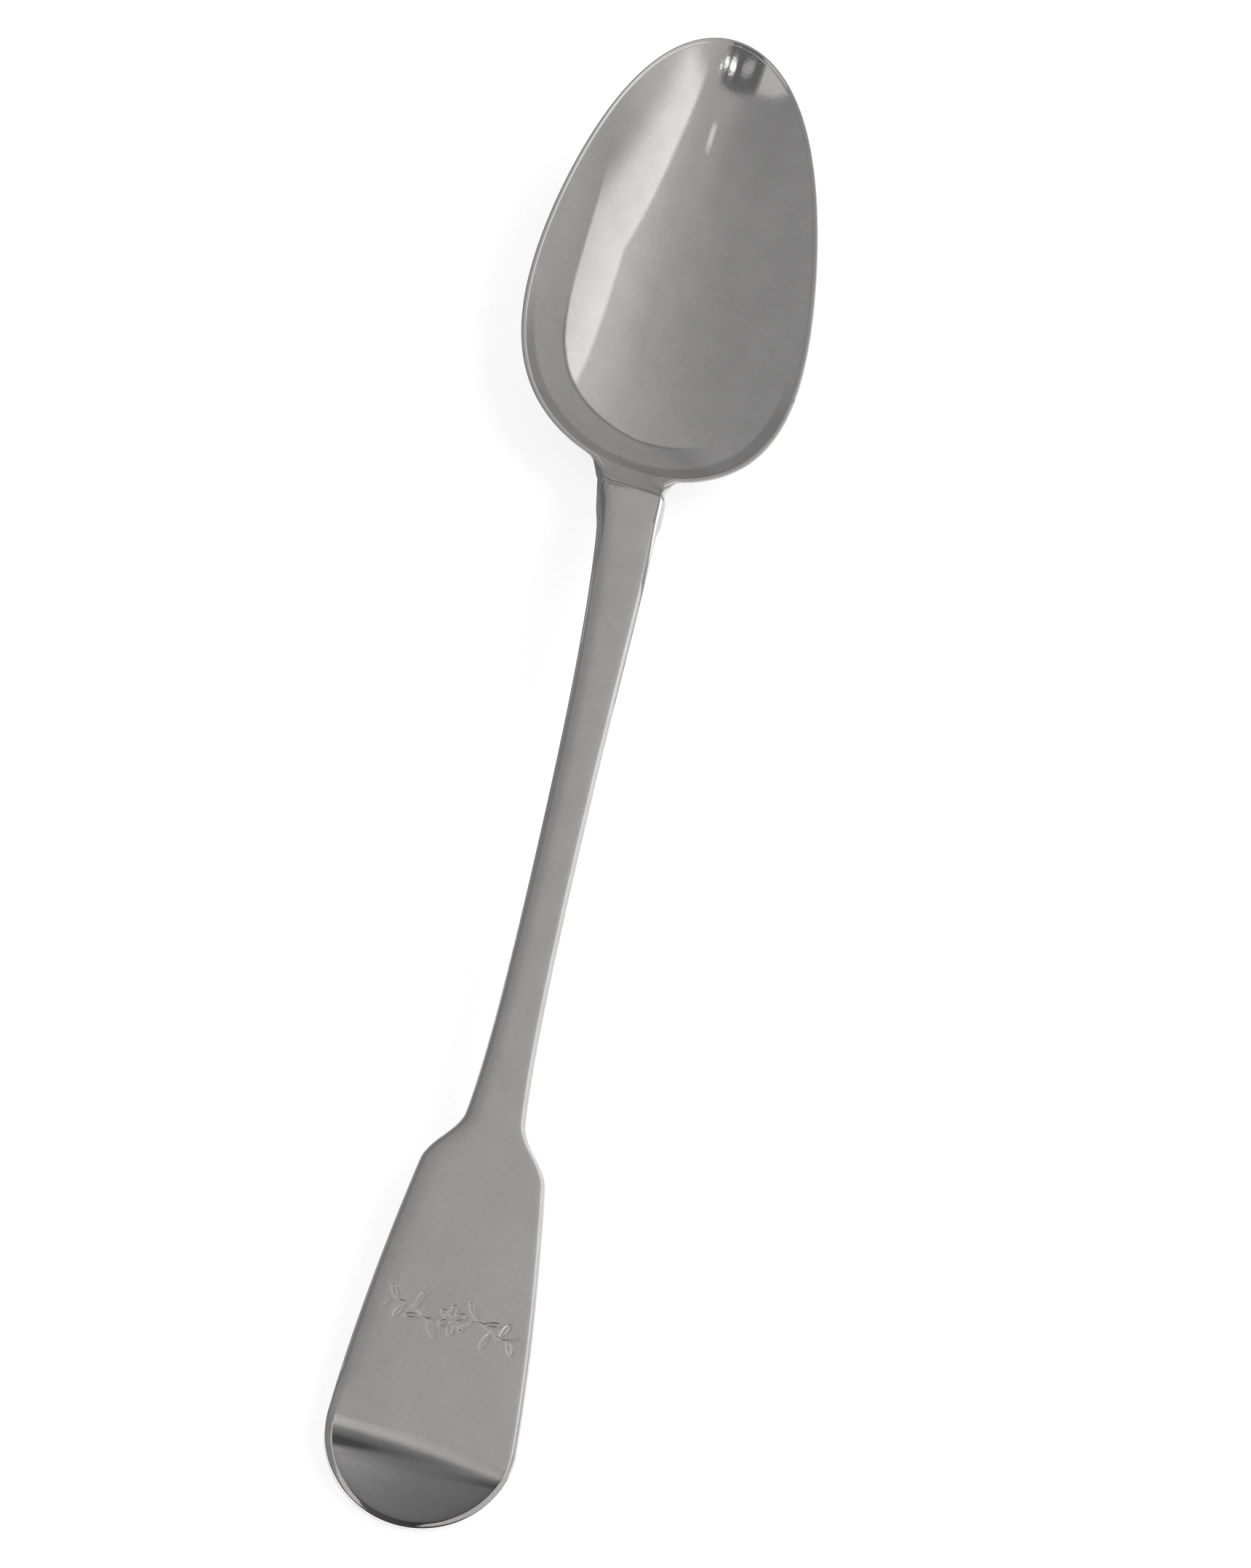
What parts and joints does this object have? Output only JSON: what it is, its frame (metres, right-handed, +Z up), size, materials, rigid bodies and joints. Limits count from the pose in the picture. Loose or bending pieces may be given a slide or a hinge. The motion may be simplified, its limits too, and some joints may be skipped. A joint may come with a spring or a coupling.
{
  "type": "serving spoon",
  "caption": "Long serving spoon with an egg-shaped dished bowl, an arched tapering stem and a fiddle-shaped handle end turned down at the tip, in aged polished silver.",
  "frame": {"origin": "middle of the spoon's length, on the plane that it lies on", "axes": "+Y along the spoon towards the tip of the bowl, +Z up out of the bowl, X across; the spoon lies on its back on z = 0"},
  "size_m": [0.0604, 0.305, 0.0313],
  "materials": {
    "bowl_silver": "aged polished silver with fine scratches and small pits",
    "stem_silver": "aged polished silver, slightly satin, rounded bright edges",
    "drop_silver": "aged polished silver, darker in the crevice round it",
    "solder": "silver solder, duller and slightly warmer than the silver"
  },
  "bodies": {
    "root": {"bowl": "bowl_silver", "stem": "stem_silver", "neck_solder": "solder", "heel_drop": "drop_silver"}
  },
  "joints": []
}
